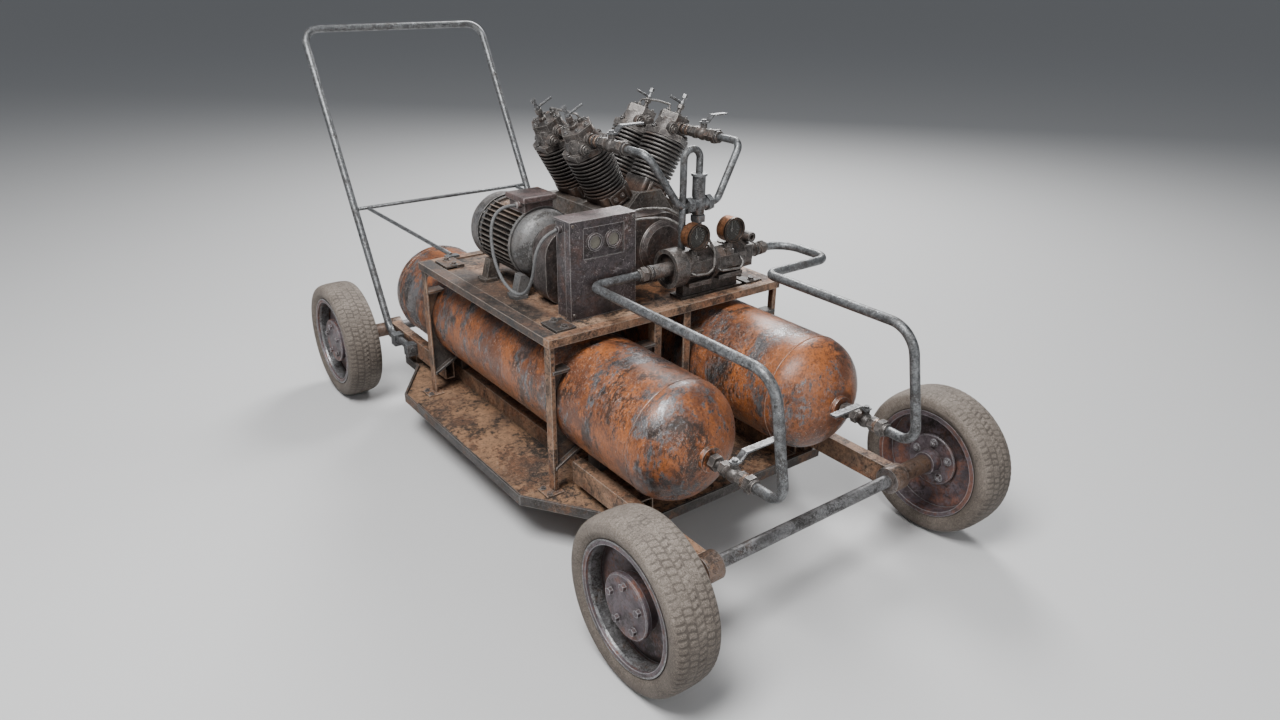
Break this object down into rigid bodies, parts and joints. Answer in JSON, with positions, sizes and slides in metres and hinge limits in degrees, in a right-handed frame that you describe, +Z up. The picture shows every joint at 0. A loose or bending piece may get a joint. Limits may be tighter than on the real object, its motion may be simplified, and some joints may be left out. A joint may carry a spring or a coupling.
{
  "type": "wheelbarrow air compressor",
  "caption": "Wheeled hand-cart air compressor with horizontal tanks, ribbed motor, belt-driven V pump, regulator with gauges, bent pipes and a push handle, heavily rusted",
  "frame": {"origin": "on the ground under the middle of the overall box", "axes": "X across the cart, Y along it with the push handle at +Y and the tank valves at -Y, Z up"},
  "size_m": [0.866, 1.904, 0.934],
  "materials": {
    "plate": "light-brown rusted steel plate with dark stains and chipped pale edges",
    "frame": "brown-grey rusted angle iron and tube",
    "axle": "dull grey steel with rust at the collars",
    "tank": "orange rust over worn grey-blue paint with pale scratches",
    "tyre": "dusty grey rubber with a fine block tread",
    "wheel": "purplish-brown rusted pressed steel",
    "pipe": "light blue-grey speckled galvanised tube",
    "fitting": "dull grey fittings with dark rings and brassy nuts",
    "lever": "worn bare steel",
    "motor": "brown ribbed casing with grey end bells",
    "rotor": "machined steel",
    "casting": "dark grey-brown castings with rust in the recesses",
    "guard": "dark brown sheet",
    "belt": "black drive belt",
    "gauge_case": "bright copper-coloured case",
    "needle": "off-white painted pointer",
    "glass": "clear window",
    "control_box": "dark purple-brown mottled sheet with grey worn edges",
    "sense": "thin dark metal tube",
    "cable": "grey dusty rubber sheath"
  },
  "bodies": {
    "chassis": {"base_plate": "plate", "deck_plate": "plate", "base_rim": "frame", "frame_beams": "frame", "deck_posts": "frame", "tank_cradles": "frame", "deck_rails": "frame", "corner_plates": "frame", "front_axle": "axle", "rear_axle": "axle", "tank_left": "tank", "tank_right": "tank", "handle_tube": "pipe", "handle_crossbar": "pipe", "handle_brackets": "pipe", "supply_pipe_left": "pipe", "supply_pipe_right": "pipe", "discharge_pipes": "pipe", "manifold": "pipe", "ball_valve_bodies": "fitting", "pipe_unions": "fitting", "regulator_body": "fitting", "head_valves": "fitting", "motor_housing": "motor", "motor_fan_cover": "motor", "terminal_box": "motor", "pistons": "rotor", "crankcase": "casting", "cylinder_barrels": "casting", "cylinder_heads": "casting", "belt_guard": "guard", "drive_belt": "belt", "gauge_cases": "gauge_case", "gauge_glasses": "glass", "control_box": "control_box", "control_cover": "control_box", "sensing_tubes": "sense", "motor_cable": "cable"},
    "front_left_rolling": {"front_left_tyre": "tyre", "front_left_wheel": "wheel"},
    "front_right_rolling": {"front_right_tyre": "tyre", "front_right_wheel": "wheel"},
    "rear_left_rolling": {"rear_left_tyre": "tyre", "rear_left_wheel": "wheel"},
    "rear_right_rolling": {"rear_right_tyre": "tyre", "rear_right_wheel": "wheel"},
    "motor_shaft": {"motor_rotor": "rotor", "motor_pulley": "rotor"},
    "crank": {"crankshaft": "rotor", "flywheel": "casting"},
    "tank_lever_left_turning": {"tank_lever_left": "lever"},
    "tank_lever_right_turning": {"tank_lever_right": "lever"},
    "discharge_lever_left_turning": {"discharge_lever_left": "lever"},
    "discharge_lever_right_turning": {"discharge_lever_right": "lever"},
    "head_handle_front_left_turning": {"head_handle_front_left": "lever"},
    "head_handle_rear_left_turning": {"head_handle_rear_left": "lever"},
    "head_handle_front_right_turning": {"head_handle_front_right": "lever"},
    "head_handle_rear_right_turning": {"head_handle_rear_right": "lever"},
    "needle_left_turning": {"gauge_needle_left": "needle"},
    "needle_right_turning": {"gauge_needle_right": "needle"}
  },
  "joints": [
    {"name": "front_left_spin", "type": "hinge", "parent": "chassis", "child": "front_left_rolling", "pos_m": [-0.387, -0.797, 0.155], "axis": [1, 0, 0], "continuous": true},
    {"name": "front_right_spin", "type": "hinge", "parent": "chassis", "child": "front_right_rolling", "pos_m": [0.387, -0.797, 0.155], "axis": [1, 0, 0], "continuous": true},
    {"name": "rear_left_spin", "type": "hinge", "parent": "chassis", "child": "rear_left_rolling", "pos_m": [-0.387, 0.556, 0.155], "axis": [1, 0, 0], "continuous": true},
    {"name": "rear_right_spin", "type": "hinge", "parent": "chassis", "child": "rear_right_rolling", "pos_m": [0.387, 0.556, 0.155], "axis": [1, 0, 0], "continuous": true},
    {"name": "motor_spin", "type": "hinge", "parent": "chassis", "child": "motor_shaft", "pos_m": [-0.15, -0.157, 0.548], "axis": [0, 1, 0], "continuous": true},
    {"name": "crank_spin", "type": "hinge", "parent": "chassis", "child": "crank", "pos_m": [0.093, -0.157, 0.525], "axis": [0, 1, 0], "continuous": true},
    {"name": "tank_lever_left_turn", "type": "hinge", "parent": "chassis", "child": "tank_lever_left_turning", "pos_m": [-0.17, -0.769, 0.3], "axis": [0, 0, -1], "range_deg": [0, 90]},
    {"name": "tank_lever_right_turn", "type": "hinge", "parent": "chassis", "child": "tank_lever_right_turning", "pos_m": [0.17, -0.769, 0.3], "axis": [0, 0, 1], "range_deg": [0, 90]},
    {"name": "discharge_lever_left_turn", "type": "hinge", "parent": "chassis", "child": "discharge_lever_left_turning", "pos_m": [-0.03094, -0.208, 0.7581], "axis": [0, 0, -1], "range_deg": [0, 90]},
    {"name": "discharge_lever_right_turn", "type": "hinge", "parent": "chassis", "child": "discharge_lever_right_turning", "pos_m": [0.21694, -0.208, 0.7581], "axis": [0, 0, -1], "range_deg": [0, 90]},
    {"name": "head_handle_front_left_turn", "type": "hinge", "parent": "chassis", "child": "head_handle_front_left_turning", "pos_m": [-0.06253, -0.092, 0.80473], "axis": [-0.4695, 0, 0.8829], "range_deg": [0, 180]},
    {"name": "head_handle_rear_left_turn", "type": "hinge", "parent": "chassis", "child": "head_handle_rear_left_turning", "pos_m": [-0.06253, 0.033, 0.80473], "axis": [-0.4695, 0, 0.8829], "range_deg": [0, 180]},
    {"name": "head_handle_front_right_turn", "type": "hinge", "parent": "chassis", "child": "head_handle_front_right_turning", "pos_m": [0.24853, -0.092, 0.80473], "axis": [0.4695, 0, 0.8829], "range_deg": [0, 180]},
    {"name": "head_handle_rear_right_turn", "type": "hinge", "parent": "chassis", "child": "head_handle_rear_right_turning", "pos_m": [0.24853, 0.033, 0.80473], "axis": [0.4695, 0, 0.8829], "range_deg": [0, 180]},
    {"name": "needle_left_turn", "type": "hinge", "parent": "chassis", "child": "needle_left_turning", "pos_m": [0.068, -0.371, 0.586], "axis": [0, 1, 0], "range_deg": [-135, 135]},
    {"name": "needle_right_turn", "type": "hinge", "parent": "chassis", "child": "needle_right_turning", "pos_m": [0.166, -0.371, 0.586], "axis": [0, 1, 0], "range_deg": [-135, 135]}
  ],
  "couplings": [
    {"joint": "crank_spin", "follows": "motor_spin", "ratio": 0.5}
  ]
}
